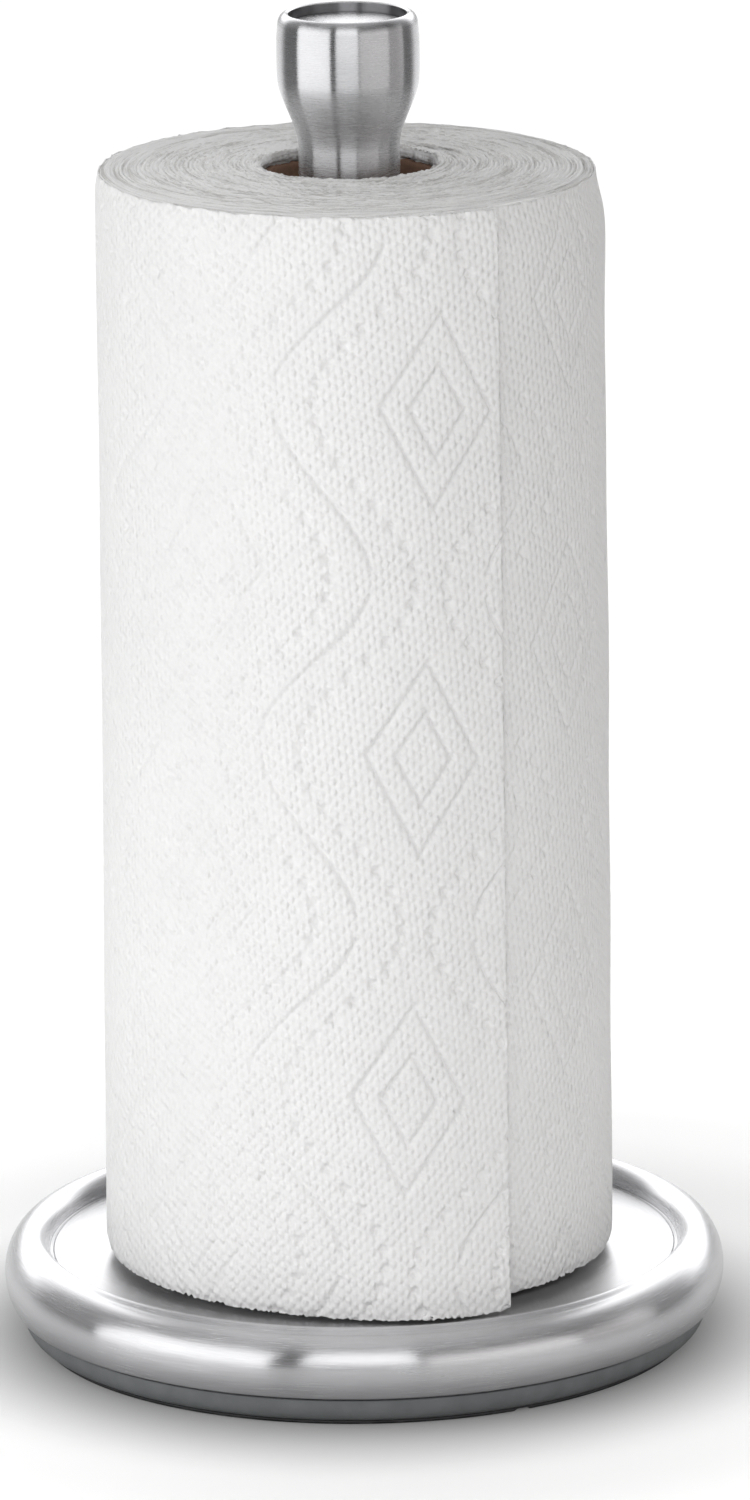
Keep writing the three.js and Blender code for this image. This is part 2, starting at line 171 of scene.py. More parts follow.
def add_surroundings():
    """A white room as the camera sees it. As a light it is dark in front of the object, dim
    overhead and at the horizon, and bright behind it."""
    world = bpy.data.worlds.new("studio")
    bpy.context.scene.world = world
    world.use_nodes = True
    tree = world.node_tree
    tree.nodes.clear()
    direction = wire(tree, "TexCoord").outputs["Generated"]
    _, back, up = coordinates(direction)
    sides = eased(back, *SIDES_Y, 0, ROOM["sides"])
    straight = eased(back, *BACK_Y, 0, ROOM["back"])
    behind = plus(sides, straight)
    below_top = eased(up, *BACK_TOP_Z, 1, 0)
    low = eased(up, *HORIZON_Z, ROOM["under"], ROOM["horizon"])
    high = eased(up, *BACK_LOW_Z, 0, 1)
    level = calc("MAXIMUM", low, high)
    glow = times(times(behind, below_top), level)
    overhead = eased(up, *OVER_Z, ROOM["dark"], ROOM["over"])
    strength = plus(glow, overhead)
    room = wire(tree, "Background", {"Color": WHITE, "Strength": strength})
    white = wire(tree, "Background", {"Color": WHITE, "Strength": ROOM["seen"]})
    seen = wire(tree, "LightPath").outputs["Is Camera Ray"]
    mix = wire(tree, "MixShader", {0: seen, 1: room.outputs[0], 2: white.outputs[0]})
    wire(tree, "OutputWorld", {"Surface": mix.outputs[0]})


# --- Node helpers ---

def wire(near, kind, inputs=None, **settings):
    """A new node in the tree of a node or socket. Inputs are values or other nodes' outputs."""
    tree = near.id_data
    node = tree.nodes.new("ShaderNode" + kind)
    for key, value in settings.items():
        setattr(node, key, value)
    for key, value in (inputs or {}).items():
        if isinstance(value, bpy.types.NodeSocket):
            tree.links.new(value, node.inputs[key])
        else:
            node.inputs[key].default_value = value
    return node


def calc(operation, *values):
    near = next(value for value in values if isinstance(value, bpy.types.NodeSocket))
    return wire(near, "Math", dict(enumerate(values)), operation=operation).outputs[0]


def times(a, b):
    return calc("MULTIPLY", a, b)


def plus(a, b):
    return calc("ADD", a, b)


def new_material(name, colour, roughness, **settings):
    """A new material's shader. Settings are named after the shader's inputs."""
    material = bpy.data.materials.new(name)
    material.use_nodes = True
    shader = material.node_tree.nodes["Principled BSDF"]
    shader.inputs["Base Color"].default_value = (*colour, 1)
    shader.inputs["Roughness"].default_value = roughness
    for key, value in settings.items():
        shader.inputs[key.replace("_", " ")].default_value = value
    return shader


def feed(shader, name, value):
    shader.id_data.links.new(value, shader.inputs[name])


def object_place(near):
    return wire(near, "TexCoord").outputs["Object"]


def coordinates(vector):
    split = wire(vector, "SeparateXYZ", {"Vector": vector})
    return [split.outputs[axis] for axis in "XYZ"]


def axis_distance(x, y):
    return calc("SQRT", plus(times(x, x), times(y, y)))


def noise(place, scale, detail, roughness=0.5):
    inputs = {"Vector": place, "Scale": scale, "Detail": detail, "Roughness": roughness}
    return wire(place, "TexNoise", inputs).outputs["Fac"]


def spread(value, low, high, to_low, to_high, kind="LINEAR"):
    """Maps a value's span low..high to to_low..to_high."""
    inputs = {"Value": value, "From Min": low, "From Max": high, "To Min": to_low, "To Max": to_high}
    return wire(value, "MapRange", inputs, interpolation_type=kind).outputs["Result"]


def eased(*spans):
    return spread(*spans, kind="SMOOTHSTEP")


NOISE_SPAN = (0.3, 0.7)  # nearly all values of a noise lie between these


def mottled(shader, factor, dark, light):
    """Colours the shader from dark to light with the factor."""
    inputs = {0: factor, 6: (*dark, 1), 7: (*light, 1)}
    feed(shader, "Base Color", wire(shader, "Mix", inputs, data_type="RGBA").outputs[2])


def bumped(shader, height, distance):
    """Gives the shader a bump of the given height in millimetres."""
    bump = wire(shader, "Bump", {"Height": height, "Distance": distance * MM})
    feed(shader, "Normal", bump.outputs["Normal"])


# --- Materials ---

AXIS_CLEARANCE = 0.5 * MM  # keeps the division by the radius defined on the axis


def spun_noise(shader, around, across, detail=2.0):
    """Noise that changes slowly round the axis and quickly across it, for spun metal."""
    x, y, z = coordinates(object_place(shader))
    radius = axis_distance(x, y)
    safe = calc("MAXIMUM", radius, AXIS_CLEARANCE)
    inputs = {
        "X": times(calc("DIVIDE", x, safe), around),
        "Y": times(calc("DIVIDE", y, safe), around),
        "Z": times(z, across / MM),
    }
    vector = wire(shader, "CombineXYZ", inputs).outputs[0]
    w = times(radius, across / MM)
    inputs = {"Vector": vector, "W": w, "Scale": 1.0, "Detail": detail}
    return wire(shader, "TexNoise", inputs, noise_dimensions="4D").outputs["Fac"]


FINE_SHARE = 0.8  # fine lines' share of the brushing; broader bands have the rest
LINE_GLOSS = 0.03  # how much the roughness changes from line to line
SPOTS = {"scale": 60, "span": (0.35, 0.65), "gloss": 0.01}


def spun_steel(name, colour, roughness, anisotropy, around, across, depth):
    """Steel brushed round the axis: fine lines, and highlights drawn out across them."""
    shader = new_material(name, colour, roughness, Metallic=1.0, Anisotropic=anisotropy,
                          Anisotropic_Rotation=0.25)
    tangent = wire(shader, "Tangent", direction_type="RADIAL", axis="Z")
    feed(shader, "Tangent", tangent.outputs[0])
    fine = spun_noise(shader, around, across)
    broad = spun_noise(shader, around / 3, across / 8)
    both = plus(times(fine, FINE_SHARE), times(broad, 1 - FINE_SHARE))
    spotted = noise(object_place(shader), SPOTS["scale"], 3)
    rough = plus(spread(both, *NOISE_SPAN, roughness - LINE_GLOSS, roughness + LINE_GLOSS),
                 spread(spotted, *SPOTS["span"], -SPOTS["gloss"], SPOTS["gloss"]))
    feed(shader, "Roughness", rough)
    dark = tuple(0.9 * c for c in colour)
    light = tuple(1.06 * c for c in colour)
    mottled(shader, spread(both, *NOISE_SPAN, 0, 1), dark, light)
    bumped(shader, both, depth)


def grained(name, dark, light, roughness, scale, depth, metallic, sheen):
    """A moulded, cast or woven surface: blotchy colour, uneven gloss and a fine grain."""
    shader = new_material(name, light, roughness, Metallic=metallic, Sheen_Weight=sheen)
    place = object_place(shader)
    blotch = noise(place, scale * 0.12, 3)
    grain = noise(place, scale, 4, 0.65)
    mottled(shader, spread(blotch, *NOISE_SPAN, 0, 1), dark, light)
    rough = spread(grain, *NOISE_SPAN, roughness - 0.07, min(1.0, roughness + 0.07))
    feed(shader, "Roughness", rough)
    bumped(shader, grain, depth)


CORE_STANDS = 1.9  # the core stands this much above its CAD piece
CORE_STRIP = 55  # width of the paper strip that the core is wound from


def cardboard():
    """Kraft board wound from a strip, with its helical seam and short fibres. Its colours are kraft's
    darkened by about half: painted shade inside the core.
    """
    shader = new_material("core_board_shaded", (0.40, 0.26, 0.16), 0.9)
    place = object_place(shader)
    x, y, z = coordinates(place)
    angle = calc("ARCTAN2", y, x)
    climb = calc("MULTIPLY_ADD", angle, CORE_STRIP / TURN, times(z, 1 / MM))
    along = calc("PINGPONG", climb, CORE_STRIP / 2)
    seam = spread(along, 0.0, 0.8, 0.0, 1.0)
    fibre = noise(place, 900, 4, 0.7)
    blotch = noise(place, 90, 3)
    colour = times(seam, plus(times(fibre, 0.5), times(blotch, 0.5)))
    # colours about half as light as kraft: painted shade inside the core
    mottled(shader, spread(colour, 0.2, 0.65, 0, 1),
            (0.12, 0.065, 0.042), (0.29, 0.175, 0.115))
    bumped(shader, plus(seam, times(fibre, 0.4)), 0.15)


PAPER = (0.9, 0.898, 0.896)

# the three wave directions, in cycles per millimetre, whose sum is the towel's fine dimpling
DIMPLE_WAVES = ((0.60, 0.05), (0.37, -0.33), (0.23, 0.38))
DIMPLE_DEPTH = 0.32
UV_UNIT = 100  # millimetres of flat sheet per unit of its UV map


def towel_face():
    """The towel's outer face: a lattice of fine dimples with loose fibres."""
    shader = new_material("towel_face", PAPER, 0.95, Specular_IOR_Level=0.15, Sheen_Weight=0.12)
    flat = wire(shader, "UVMap", uv_map="sheet").outputs[0]
    place = object_place(shader)
    drift = noise(place, 160, 2)
    s, z, _ = coordinates(flat)
    phase_shift = spread(drift, 0.0, 1.0, -1.6, 1.6)
    height = 0.0
    for across, up in DIMPLE_WAVES:
        phase = calc("MULTIPLY_ADD", s, across * UV_UNIT * TURN, phase_shift)
        phase = calc("MULTIPLY_ADD", z, up * UV_UNIT * TURN, phase)
        height = plus(height, calc("COSINE", phase))
    vigour = spread(noise(place, 420, 2), *NOISE_SPAN, 0.12, 0.34)
    fibre = noise(place, 2600, 3, 0.6)
    height = calc("MULTIPLY_ADD", height, vigour, times(fibre, 0.55))
    bumped(shader, height, DIMPLE_DEPTH)
    tint = plus(times(fibre, 0.4), times(noise(place, 25, 3), 0.6))
    mottled(shader, spread(tint, *NOISE_SPAN, 0, 1),
            tuple(0.965 * c for c in PAPER), tuple(min(1, 1.02 * c) for c in PAPER))


def towel_edge():
    """Cut edges of the wound sheet: fibrous, with faint darker lines between the layers that are
    painted shade in the gaps between the wraps.
    """
    shader = new_material("towel_edge", PAPER, 1.0, Specular_IOR_Level=0.1)
    place = object_place(shader)
    layers = spun_noise(shader, 2, 1.3, 3)
    fibre = noise(place, 1500, 4, 0.7)
    both = calc("MULTIPLY_ADD", layers, 0.8, times(fibre, 0.2))
    # random fibre tone, and darker lines between the layers that are painted shade
    mottled(shader, spread(both, 0.37, 0.5, 0, 1), (0.68, 0.67, 0.655),
            (0.97, 0.968, 0.965))
    bumped(shader, both, 1.2)


# colour, roughness, anisotropy, lines' changes round a turn and across a millimetre, and depth
STEELS = {
    "steel_spun": ((0.57, 0.57, 0.585), 0.27, 1.0, 4, 4.0, 0.006),
    "steel_base": ((0.62, 0.62, 0.635), 0.25, 1.0, 13, 4.0, 0.005),
    # a darker copy of the cover's steel for its plate: painted shade
    "steel_plate_shaded": ((0.45, 0.45, 0.46), 0.25, 1.0, 13, 4.0, 0.005),
    # a dark copy of the knob's steel for the wall of its recess: painted shade
    "steel_recess_shaded": ((0.26, 0.26, 0.27), 0.3, 0.8, 8, 4.0, 0.004),
    "steel_cap": ((0.66, 0.66, 0.675), 0.28, 0.8, 10, 4.0, 0.004),
    "steel_plated": ((0.5, 0.51, 0.53), 0.35, 0.3, 8, 3.0, 0.01),
}
# dark and light colour, roughness, scale and depth of the grain, metallic, and sheen
GRAINED = {
    "iron_black": ((0.02, 0.02, 0.022), (0.05, 0.05, 0.055), 0.7, 500, 0.15, 0.3, 0),
    "pan_grey": ((0.135, 0.143, 0.147), (0.165, 0.174, 0.178), 0.5, 1500, 0.02, 0, 0),
    "rubber_foot": ((0.035, 0.035, 0.037), (0.06, 0.06, 0.063), 0.75, 1200, 0.03, 0, 0),
    "plastic_black": ((0.018, 0.018, 0.02), (0.035, 0.035, 0.037), 0.45, 1600, 0.02, 0, 0),
    "plastic_white": ((0.66, 0.65, 0.61), (0.74, 0.73, 0.69), 0.4, 1400, 0.015, 0, 0),
    "rubber_grip": ((0.045, 0.045, 0.05), (0.08, 0.08, 0.085), 0.7, 1300, 0.03, 0, 0),
    "felt_dark": ((0.05, 0.045, 0.04), (0.11, 0.10, 0.09), 0.95, 2600, 0.2, 0, 0.5),
}


def make_materials():
    for name, values in STEELS.items():
        spun_steel(name, *values)
    for name, values in GRAINED.items():
        grained(name, *values)
    cardboard()
    towel_face()
    towel_edge()


SLOT_MATERIALS = {
    "brushed_stainless": "steel_spun",
    "brushed_cap": "steel_cap",
    "plated_steel": "steel_plated",
    "black_iron": "iron_black",
    "grey_pan_plastic": "pan_grey",
    "foot_rubber": "rubber_foot",
    "black_plastic": "plastic_black",
    "white_plastic": "plastic_white",
    "grip_rubber": "rubber_grip",
    "felt": "felt_dark",
    "core_cardboard": "core_board_shaded",
    "towel_tissue": "towel_edge",
}


def dress_cad_nodes():
    """Gives every CAD node the material of its slot."""
    slots = {row["node"]: row["material_slot"] for row in frame["record"]["subparts"]}
    for node, thing in frame["nodes"].items():
        material = bpy.data.materials[SLOT_MATERIALS[slots[node]]]
        thing.data.materials.clear()
        thing.data.materials.append(material)


# --- Mesh helpers ---

def piece(name, points, faces, body, slot, nodes, material=None):
    """A mesh object from points in millimetres that rides on a body and stands for CAD nodes."""
    return finished(name, new_mesh(name, points, faces), body, slot, nodes, material)


def finished(name, mesh, body, slot, nodes, material=None):
    outward = bmesh.new()
    outward.from_mesh(mesh)
    bmesh.ops.recalc_face_normals(outward, faces=outward.faces)
    outward.to_mesh(mesh)
    outward.free()
    mesh.polygons.foreach_set("use_smooth", [True] * len(mesh.polygons))
    mesh.materials.append(bpy.data.materials[material or SLOT_MATERIALS[slot]])
    thing = new_object(name, mesh)
    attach(thing, body)
    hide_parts(*nodes)
    return thing


def repaint(thing, material, radius, low):
    """Gives another material to the faces within a radius of the axis and above a height."""
    thing.data.materials.append(bpy.data.materials[material])
    for face in thing.data.polygons:
        centre = face.center
        if math.hypot(centre.x, centre.y) < radius * MM and centre.z > low * MM:
            face.material_index = 1


def arc(centre_r, centre_z, half_r, half_z, start, end, steps):
    """Points (radius, z) along an elliptical arc between two angles in degrees."""
    angles = np.radians(np.linspace(start, end, steps + 1))
    return [(centre_r + half_r * math.cos(a), centre_z + half_z * math.sin(a)) for a in angles]


ROUND_STEPS = 4


def outline(corners):
    """A closed outline from corners (radius, z) or (radius, z, fillet). Fillets become arcs, with
    a close point before and after each, so that the flat stretches shade flat."""
    result = []
    count = len(corners)
    for i, corner in enumerate(corners):
        here = Vector(corner[:2])
        fillet = corner[2] if len(corner) > 2 else 0
        before = Vector(corners[i - 1][:2]) - here
        after = Vector(corners[(i + 1) % count][:2]) - here
        if not fillet:
            result.append(tuple(here))
            continue
        half = before.angle(after) / 2
        reach = fillet / math.tan(half)
        inward = (before.normalized() + after.normalized()).normalized()
        centre = here + inward * (fillet / math.sin(half))
        start = here + before.normalized() * reach - centre
        sweep = start.angle_signed(here + after.normalized() * reach - centre)
        support = reach + min(0.6 * fillet + 0.1, 0.25 * min(before.length, after.length))
        result.append(tuple(here + before.normalized() * support))
        for k in range(ROUND_STEPS + 1):
            spoke = start.copy()
            spoke.rotate(Matrix.Rotation(-sweep * k / ROUND_STEPS, 2))
            result.append(tuple(centre + spoke))
        result.append(tuple(here + after.normalized() * support))
    return result


def turned(profile, segments, shape=None):
    """Points and faces of a closed outline (radius, z) turned about Z. The shape function, if
    given, takes arrays of radius, angle and z and returns new radius and z."""
    r, z = np.array(profile, float).T
    angle = np.arange(segments) * TURN / segments
    radius, angles = np.meshgrid(r, angle)
    heights = np.broadcast_to(z, radius.shape).copy()
    if shape:
        radius, heights = shape(radius, angles, heights)
    points = np.stack([radius * np.cos(angles), radius * np.sin(angles), heights], -1)
    return points.reshape(-1, 3), ring_faces(segments, len(profile))


def spin(name, corners, segments, body, slot, nodes, shape=None, material=None):
    """A piece turned from an outline's corners."""
    points, faces = turned(outline(corners), segments, shape)
    return piece(name, points, faces, body, slot, nodes, material)


def ring_faces(segments, count):
    """Quads of a grid that closes on itself both ways."""
    i, j = np.meshgrid(np.arange(segments), np.arange(count), indexing="ij")
    k, m = (i + 1) % segments, (j + 1) % count
    quads = np.stack([i * count + j, k * count + j, k * count + m, i * count + m], -1)
    return quads.reshape(-1, 4).tolist()


def disc(profile, segments):
    """Points and faces of an open outline (radius, z) whose two ends are closed on the axis."""
    count = len(profile)
    points, _ = turned(profile, segments)
    points = np.concatenate([points, [[0, 0, profile[0][1]], [0, 0, profile[-1][1]]]])
    first, last = segments * count, segments * count + 1
    faces = []
    for i in range(segments):
        k = (i + 1) % segments
        faces += [(i * count + j, k * count + j, k * count + j + 1, i * count + j + 1)
                  for j in range(count - 1)]
        faces.append((first, k * count, i * count))
        faces.append((last, i * count + count - 1, k * count + count - 1))
    return points, faces


def ramp(low, high, value):
    t = np.clip((value - low) / (high - low), 0, 1)
    return t * t * (3 - 2 * t)


class Ripple:
    """A smooth random field over an angle in radians and a height in millimetres, about -1 to 1."""

    def __init__(self, seed, count, turns, length):
        rng = np.random.default_rng(seed)
        self.turns = rng.integers(1, turns + 1, count)
        self.rise = rng.uniform(-1, 1, count) * TURN / length
        self.phase = rng.uniform(0, TURN, count)
        self.weight = rng.uniform(0.4, 1, count) * 1.5 / math.sqrt(count)

    def __call__(self, angle, height):
        total = 0
        for n, k, phase, weight in zip(self.turns, self.rise, self.phase, self.weight):
            total = total + weight * np.sin(n * angle + k * height + phase)
        return total


def carve(thing, cutter_points, cutter_faces, operation="DIFFERENCE"):
    """Cuts or joins another solid, given in millimetres, by an exact boolean."""
    cutter = new_object("cutter", new_mesh("cutter", cutter_points, cutter_faces))
    modifier = thing.modifiers.new("carve", "BOOLEAN")
    modifier.operation = operation
    modifier.object = cutter
    modifier.solver = "EXACT"
    modifier.use_self = operation == "UNION"
    graph = bpy.context.evaluated_depsgraph_get()
    result = bpy.data.meshes.new_from_object(thing.evaluated_get(graph))
    thing.modifiers.clear()
    thing.data = result
    bpy.data.objects.remove(cutter)


def combined(parts):
    """Points and faces of several meshes as one."""
    points, faces, start = [], [], 0
    for part_points, part_faces in parts:
        points.append(part_points)
        faces += [tuple(index + start for index in face) for face in part_faces]
        start += len(part_points)
    return np.concatenate(points), faces


# --- Weighted base ---

SHEET = 0.9
RIM = {"crest_r": 84.8, "mid_z": 16.1}
COVER_EDGE_R = 88.05
PLATE_R = 80.6
GROOVE_WIDTH, GROOVE_DEPTH = 1.0, 0.4
ROD_HOLE_R = 4.3
FINE, MEDIUM, COARSE = 288, 160, 32  # segments in a turn

# In the photograph the rim's front stands lower over the plate than its back does: the plate's
# edge shows all along the front, where a rim as high as the back one would hide it.
FRONT_DIP = {"depth": 3.2, "from": 0.1, "full": 0.85}


def add_cover():
    """The pressed steel cover: rolled rim, inner wall, pressed line and plate."""
    rim_r, edge_z, crest_z = extent("base_cover")
    plate_z = extent("wound_towel")[1] - GAP
    crest, mid = RIM["crest_r"], RIM["mid_z"]
    bulge, rise = rim_r - crest, crest_z - mid
    wall_r, wall_z = crest - PLATE_R, crest_z - plate_z
    floor_z = plate_z - GROOVE_DEPTH
    outside = [
        (COVER_EDGE_R, edge_z, 0.3),
        *arc(crest, mid, bulge, rise, -45, 90, 44),
        *arc(crest, plate_z, wall_r, wall_z, 90, 176, 18)[1:],
        (PLATE_R, floor_z, 0.2),
        (PLATE_R - GROOVE_WIDTH, floor_z, 0.2),
        (PLATE_R - GROOVE_WIDTH, plate_z, 0.3),
        (ROD_HOLE_R, plate_z, 0.2),
    ]
    inside = [
        (ROD_HOLE_R, plate_z - SHEET, 0.2),
        (PLATE_R + SHEET, plate_z - SHEET),
        *arc(crest, plate_z, wall_r - SHEET, wall_z - SHEET, 180, 90, 12),
        *arc(crest, mid, bulge - SHEET, rise - SHEET, 90, -45, 30)[1:],
        (COVER_EDGE_R - SHEET, edge_z, 0.3),
    ]

    def shape(radius, angle, z):
        facing = ramp(FRONT_DIP["from"], FRONT_DIP["full"], -np.sin(angle))
        share = np.clip((z - mid) / (crest_z - mid), 0, 1)
        outer = ramp(PLATE_R, crest, radius)
        return radius, z - FRONT_DIP["depth"] * facing * share * outer

    cover = spin("base_cover_steel", outside + inside, FINE, "base", "brushed_stainless",
                 ["base_cover"], shape, "steel_base")
    # the plate's faces get a darker copy of the cover's steel: painted shade
    repaint(cover, "steel_plate_shaded", PLATE_R, plate_z - SHEET / 2)


SCREW_CIRCLE_R = 55
SCREW_COUNT = 4
BOSS = {"r": 6.2, "root_z": 2.1, "pocket_r": 4.2, "pocket_z": 5.6, "hole_r": 2.0}
# radii and heights of the pan: its hole and underside, the groove that takes the foot ring's
# tongue, the skirt, the lip inside the cover, and the thickness of its floor and lip
PAN = {"hole_r": 14.5, "under_z": 1.6, "groove_in": 75.6, "groove_out": 82.9, "groove_z": 2.8,
       "skirt_z": 1.3, "lip_in": 1.5, "lip_z": 11.5, "lip": 1.8, "floor": 2.0}


def screw_places():
    """Where the pan's screws stand, on a circle, a quarter turn apart."""
    for i in range(SCREW_COUNT):
        angle = TURN * (i + 0.5) / SCREW_COUNT
        yield np.array([SCREW_CIRCLE_R * math.cos(angle), SCREW_CIRCLE_R * math.sin(angle), 0])


def pegs(radius, bottom, top):
    """Upright cylinders at the screws' places."""
    points, faces = disc([(radius, bottom), (radius, top)], COARSE)
    return combined([(points + place, faces) for place in screw_places()])


def add_pan():
    """The moulded pan: grey outer wall, lip inside the cover, floor and screw pockets."""
    skirt_r = extent("foot_ring")[0] + 0.2
    pan_r, bottom_z, _ = extent("bottom_pan")
    skirt_z = PAN["skirt_z"]
    skirt_top = extent("base_cover")[1] - GAP
    lip_r = COVER_EDGE_R - PAN["lip_in"]
    floor_top = bottom_z + 0.3 + PAN["floor"]
    groove_top = PAN["groove_z"] + PAN["floor"]
    corners = [
        (PAN["hole_r"], PAN["under_z"], 0.3),
        (PAN["groove_in"], PAN["under_z"], 0.2),
        (PAN["groove_in"], PAN["groove_z"], 0.2),
        (PAN["groove_out"], PAN["groove_z"], 0.2),
        (PAN["groove_out"], skirt_z, 0.15),
        (skirt_r, skirt_z, 0.3),
        *arc(skirt_r, skirt_top - 0.5, pan_r - skirt_r, skirt_top - skirt_z - 0.8, -78, -4, 12),
        (pan_r, skirt_top, 0.4),
        (lip_r, skirt_top, 0.2),
        (lip_r, PAN["lip_z"], 0.4),
        (lip_r - PAN["lip"], PAN["lip_z"], 0.4),
        (lip_r - PAN["lip"], skirt_top, 0.5),
        (PAN["groove_out"], groove_top, 0.5),
        (PAN["groove_in"], groove_top, 0.5),
        (PAN["groove_in"] - 2, floor_top, 0.5),
        (PAN["hole_r"], floor_top, 0.3),
    ]
    pan = spin("pan_moulding", corners, FINE, "base", "grey_pan_plastic", ["bottom_pan"])
    boss_top = extent("base_weight")[1] - GAP
    carve(pan, *pegs(BOSS["r"], BOSS["root_z"], boss_top), operation="UNION")
    carve(pan, *pegs(BOSS["pocket_r"], 0, BOSS["pocket_z"]))
    carve(pan, *pegs(BOSS["hole_r"], 1, boss_top + 1))


NOTCH = {"count": 3, "width": 4.0, "height": 0.7, "azimuth": 27.8, "depth": 5.0}


def add_foot():
    """The soft ring that the holder stands on, with its tongue and prying notches."""
    foot_r, bottom_z, top_z = extent("foot_ring")
    inner_r, lip = 75.0, 1.0
    tongue_in, tongue_out = 75.9, 82.6
    corners = [
        (inner_r, bottom_z, 0.25),
        (foot_r - NOTCH["depth"] - 0.1, bottom_z),
        (foot_r - NOTCH["depth"] + 0.1, bottom_z),
        (foot_r - 0.6, bottom_z, 0.4),
        (foot_r, lip, 0.25),
        (tongue_out, lip, 0.1),
        (tongue_out, top_z, 0.2),
        (tongue_in, top_z, 0.2),
        (tongue_in, lip, 0.1),
        (inner_r, lip, 0.2),
    ]

    def shape(radius, angle, z):
        step = TURN / NOTCH["count"]
        first = math.radians(NOTCH["azimuth"] - 90)
        off = np.abs((angle - first + step / 2) % step - step / 2) * foot_r
        inside = (off < NOTCH["width"] / 2) & (radius > foot_r - NOTCH["depth"])
        return radius, np.where(inside, np.maximum(z, NOTCH["height"]), z)

    spin("foot_ring_soft", corners, 2 * FINE, "base", "foot_rubber", ["foot_ring"], shape)


# --- Post, knob and what is at the post's foot ---

POST_WALL = 1.0
FLARE = {"bottom_z": 308, "top_z": 326, "r": 17.8}
BARREL_R = 17.9
SHOULDER = {"r": 17.6, "centre_r": 15.4, "z": 338.5}
RECESS = {"r": 14.8, "depth": 2.6, "ledge_r": 13.4}
CAP_THICKNESS = 1.2
POST_RINGS = 24


def flare_points(post_r, offset, steps):
    """Points up the knob's neck, where it swells from the post's radius."""
    points = []
    for z in np.linspace(FLARE["bottom_z"], FLARE["top_z"], steps + 1):
        swell = ramp(FLARE["bottom_z"], FLARE["top_z"], z)
        points.append((post_r + (FLARE["r"] - post_r) * swell - offset, z))
    return points


def add_post():
    """The post and its knob, polished into one seamless shell."""
    post_r, bottom_z, _ = extent("post_tube")
    top_z = extent("knob_shell")[2]
    ledge_z = top_z - RECESS["depth"] - CAP_THICKNESS - GAP
    barrel_z = (FLARE["top_z"] + SHOULDER["z"]) / 2
    barrel = [(BARREL_R, barrel_z - 4), (BARREL_R, barrel_z), (BARREL_R - 0.05, barrel_z + 3)]
    round_r = SHOULDER["r"] - SHOULDER["centre_r"]
    outside = [
        (post_r, bottom_z, 0.3),
        *[(post_r, z) for z in np.linspace(bottom_z + 20, FLARE["bottom_z"] - 6, POST_RINGS)],
        *flare_points(post_r, 0, 22),
        *barrel,
        *arc(SHOULDER["centre_r"], SHOULDER["z"], round_r, top_z - SHOULDER["z"], 0, 90, 14),
        (RECESS["r"], top_z - 0.3, 0.2),
        (RECESS["r"], ledge_z, 0.1),
        (RECESS["ledge_r"], ledge_z, 0.2),
        (RECESS["ledge_r"], ledge_z - SHEET, 0.2),
    ]
    inside = [
        (SHOULDER["r"] - SHEET, ledge_z - SHEET),
        (BARREL_R - SHEET, barrel_z),
        *reversed(flare_points(post_r, SHEET, 12)),
        (post_r - POST_WALL, FLARE["bottom_z"] - 8),
        (post_r - POST_WALL, bottom_z, 0.3),
    ]
    nodes = ["post_tube", "knob_shell"]
    post = spin("post_and_knob", outside + inside, MEDIUM, "base", "brushed_stainless", nodes)
    # the recess wall gets a dark copy of the knob's steel: painted shade in the recess
    repaint(post, "steel_recess_shaded", RECESS["r"] + 0.02, ledge_z - 0.1)


CAP_DISH = 0.25


def add_cap():
    """The disc sunk in the knob's top, dished a little, with a soft edge."""
    cap_r, bottom_z, top_z = extent("knob_cap_disc")
    dish = [(r, top_z - CAP_DISH * (1 - (r / cap_r) ** 2))
            for r in np.linspace(cap_r - 0.8, 0.5, 12)]
    profile = [(cap_r - 0.3, bottom_z), (cap_r, bottom_z + 0.2), (cap_r, top_z - 0.4),
               (cap_r - 0.12, top_z - 0.12), (cap_r - 0.4, top_z), *dish]
    points, faces = disc(profile, MEDIUM)
    piece("knob_cap", points, faces, "base", "brushed_cap", ["knob_cap_disc"])


HUB_R = 17.5


def add_post_foot():
    """The collar, friction disc, bushings and hub at the foot of the post."""
    post_r = extent("post_tube")[0]
    bore = post_r + GAP
    spigot_r = post_r - POST_WALL - GAP
    collar_r, low, high = extent("post_collar")
    flange_top = extent("post_tube")[1] - GAP
    rings = {"post_collar_moulded": ("post_collar", "base", "black_plastic", [
        (ROD_HOLE_R, low, 0.2), (collar_r, low, 0.2), (collar_r, flange_top, 0.7),
        (spigot_r, flange_top, 0.1), (spigot_r, high - 1), (spigot_r - 1, high, 0.2),
        (ROD_HOLE_R, high, 0.2)])}
    felt_r, low, high = extent("friction_disc")
    rings["friction_felt"] = ("friction_disc", "base", "felt", [
        (bore, low, 0.2), (felt_r, low, 0.4), (felt_r, high, 0.4), (bore, high, 0.2)])
    bush_r = extent("hub_bushing_lower")[0]
    for level in ("lower", "upper"):
        _, low, high = extent(f"hub_bushing_{level}")
        rings[f"bushing_{level}"] = (f"hub_bushing_{level}", "spindle", "black_plastic", [
            (bore, low, 0.2), (bush_r, low, 0.2), (bush_r, high, 0.3), (bore, high, 0.4)])
    flange_r, low, high = extent("spindle_hub")
    flange_top = extent("core_grip_sleeve")[1] - GAP
    bore_hub = bush_r + GAP
    rings["hub_sleeve"] = ("spindle_hub", "spindle", "white_plastic", [
        (bore_hub, low, 0.2), (flange_r, low, 0.5), (flange_r, flange_top, 0.7),
        (HUB_R, flange_top, 0.15), (HUB_R, high, 0.8), (bore_hub, high, 0.3)])
    for name, (node, body, slot, corners) in rings.items():
        spin(name, corners, MEDIUM, body, slot, [node])


# the ribs fade by the share "lead" over the height "lead_in" below the top, and wholly over
# "end" at both ends
GRIP = {"ribs": 6, "rib_width": 2.4, "body_r": 19.8, "lead_in": 8, "lead": 0.75, "end": 0.8,
        "segments": 240}


